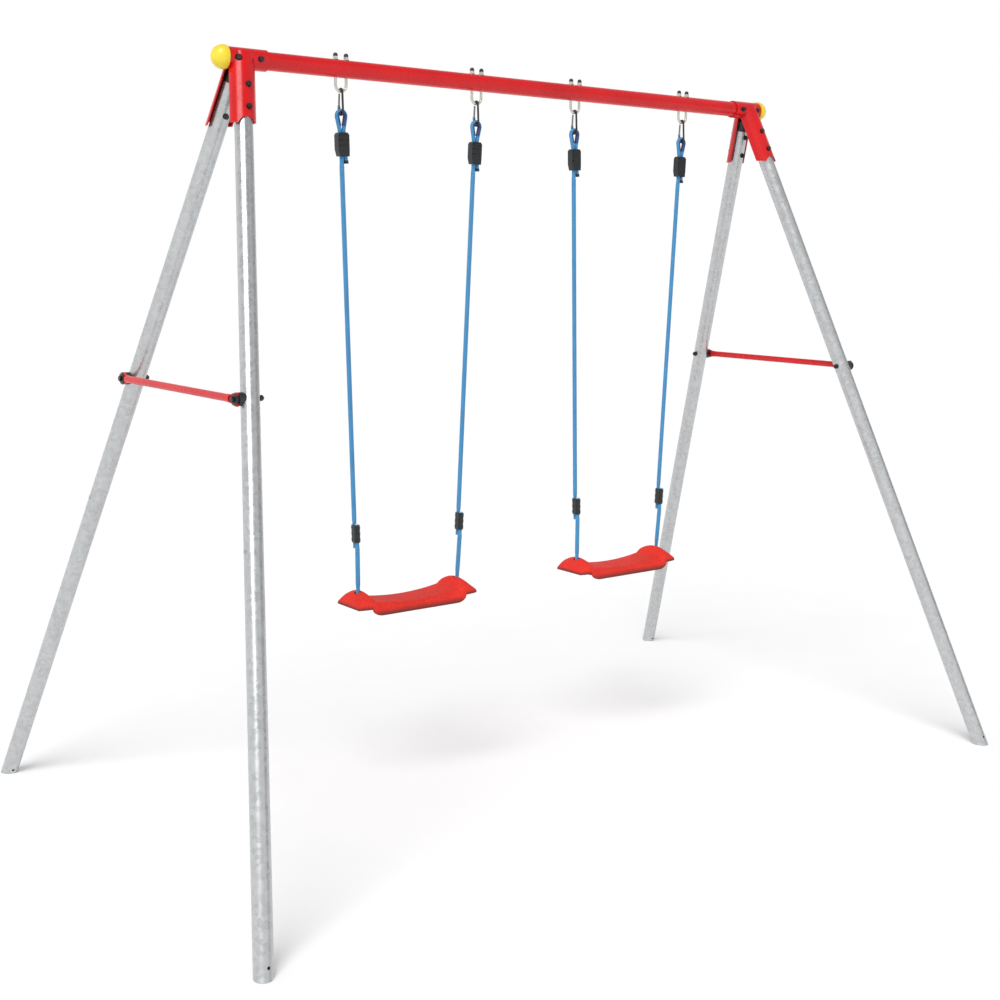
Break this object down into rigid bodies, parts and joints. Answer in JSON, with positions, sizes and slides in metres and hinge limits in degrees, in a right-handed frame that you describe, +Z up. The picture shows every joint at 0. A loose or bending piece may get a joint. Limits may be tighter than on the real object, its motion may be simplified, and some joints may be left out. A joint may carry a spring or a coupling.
{
  "type": "swing set",
  "caption": "Double garden swing set: red beam on two splayed galvanised tube A-frames, with two rope-hung red moulded seats, snap hooks and side braces.",
  "frame": {"origin": "on the ground, below the middle of the beam", "axes": "+X along the beam to the right as seen from the front, -Y towards the front, +Z up"},
  "size_m": [2.7788, 1.6714, 2.142],
  "materials": {
    "red_enamel": "glossy red enamel on steel",
    "yellow_plastic": "smooth moulded yellow plastic",
    "galvanised_steel": "galvanised tube, pale grey with a soft sheen",
    "zinc_plated_steel": "warm pale zinc plating",
    "bare_steel": "plain bright steel",
    "black_coated_steel": "black coating, satin",
    "grey_coated_steel": "dark grey coating, satin",
    "black_nylon": "black moulded nylon",
    "blue_black_plastic": "dark blue moulded plastic",
    "black_plastic": "black moulded plastic",
    "blue_rope": "braided blue rope",
    "red_plastic": "moulded coral-red plastic, slightly textured"
  },
  "bodies": {
    "frame": {"top_beam": "red_enamel", "left_ball_cap": "yellow_plastic", "right_ball_cap": "yellow_plastic", "front_left_bracket": "red_enamel", "rear_left_bracket": "red_enamel", "front_right_bracket": "red_enamel", "rear_right_bracket": "red_enamel", "front_left_upper_leg": "galvanised_steel", "rear_left_upper_leg": "galvanised_steel", "front_right_upper_leg": "galvanised_steel", "rear_right_upper_leg": "galvanised_steel", "front_left_lower_leg": "galvanised_steel", "rear_left_lower_leg": "galvanised_steel", "front_right_lower_leg": "galvanised_steel", "rear_right_lower_leg": "galvanised_steel", "leg_top_plugs": "black_plastic", "leg_joint_screws": "bare_steel", "frame_bolts": "black_coated_steel", "frame_nuts": "black_coated_steel", "left_brace": "red_enamel", "right_brace": "red_enamel", "brace_hubs": "black_plastic", "brace_bolts": "black_coated_steel", "brace_nuts": "black_coated_steel", "u_bolt_1": "zinc_plated_steel", "u_bolt_2": "zinc_plated_steel", "u_bolt_3": "zinc_plated_steel", "u_bolt_4": "zinc_plated_steel", "u_bolt_washers": "zinc_plated_steel", "u_bolt_nuts": "zinc_plated_steel", "u_bolt_caps": "black_plastic"},
    "left_hooks": {"hook_1": "black_coated_steel", "hook_2": "black_coated_steel", "left_gate_rivets": "bare_steel"},
    "gate_1": {"gate_1": "grey_coated_steel"},
    "gate_2": {"gate_2": "grey_coated_steel"},
    "left_ropes": {"left_thimbles": "blue_black_plastic", "upper_rope_1": "blue_rope", "upper_rope_2": "blue_rope", "lower_rope_1": "blue_rope", "lower_rope_2": "blue_rope", "left_rope_adjusters": "black_nylon", "rope_clamp_1": "black_nylon", "rope_clamp_2": "black_nylon"},
    "left_seat": {"left_seat": "red_plastic"},
    "right_hooks": {"hook_3": "black_coated_steel", "hook_4": "black_coated_steel", "right_gate_rivets": "bare_steel"},
    "gate_3": {"gate_3": "grey_coated_steel"},
    "gate_4": {"gate_4": "grey_coated_steel"},
    "right_ropes": {"right_thimbles": "blue_black_plastic", "upper_rope_3": "blue_rope", "upper_rope_4": "blue_rope", "lower_rope_3": "blue_rope", "lower_rope_4": "blue_rope", "right_rope_adjusters": "black_nylon", "rope_clamp_3": "black_nylon", "rope_clamp_4": "black_nylon"},
    "right_seat": {"right_seat": "red_plastic"}
  },
  "joints": [
    {"name": "left_swing", "type": "hinge", "parent": "frame", "child": "left_hooks", "pos_m": [-0.422, 0, 2.04], "axis": [1, 0, 0], "range_deg": [-60, 60]},
    {"name": "left_rope_eyes", "type": "hinge", "parent": "left_hooks", "child": "left_ropes", "pos_m": [-0.422, 0, 1.989], "axis": [1, 0, 0], "range_deg": [-20, 20]},
    {"name": "left_seat_tilt", "type": "hinge", "parent": "left_ropes", "child": "left_seat", "pos_m": [-0.422, 0, 0.603], "axis": [1, 0, 0], "range_deg": [-8, 8]},
    {"name": "right_swing", "type": "hinge", "parent": "frame", "child": "right_hooks", "pos_m": [0.422, 0, 2.04], "axis": [1, 0, 0], "range_deg": [-60, 60]},
    {"name": "right_rope_eyes", "type": "hinge", "parent": "right_hooks", "child": "right_ropes", "pos_m": [0.422, 0, 1.989], "axis": [1, 0, 0], "range_deg": [-20, 20]},
    {"name": "right_seat_tilt", "type": "hinge", "parent": "right_ropes", "child": "right_seat", "pos_m": [0.422, 0, 0.603], "axis": [1, 0, 0], "range_deg": [-8, 8]},
    {"name": "gate_1_opening", "type": "hinge", "parent": "left_hooks", "child": "gate_1", "pos_m": [-0.654, 0.01051, 1.99672], "axis": [1, 0, 0], "range_deg": [0, 15], "stiffness_Nm_per_rad": 0.01, "springref_deg": -17.19},
    {"name": "gate_2_opening", "type": "hinge", "parent": "left_hooks", "child": "gate_2", "pos_m": [-0.19, 0.01051, 1.99672], "axis": [1, 0, 0], "range_deg": [0, 15], "stiffness_Nm_per_rad": 0.01, "springref_deg": -17.19},
    {"name": "gate_3_opening", "type": "hinge", "parent": "right_hooks", "child": "gate_3", "pos_m": [0.19, 0.01051, 1.99672], "axis": [1, 0, 0], "range_deg": [0, 15], "stiffness_Nm_per_rad": 0.01, "springref_deg": -17.19},
    {"name": "gate_4_opening", "type": "hinge", "parent": "right_hooks", "child": "gate_4", "pos_m": [0.654, 0.01051, 1.99672], "axis": [1, 0, 0], "range_deg": [0, 15], "stiffness_Nm_per_rad": 0.01, "springref_deg": -17.19}
  ]
}
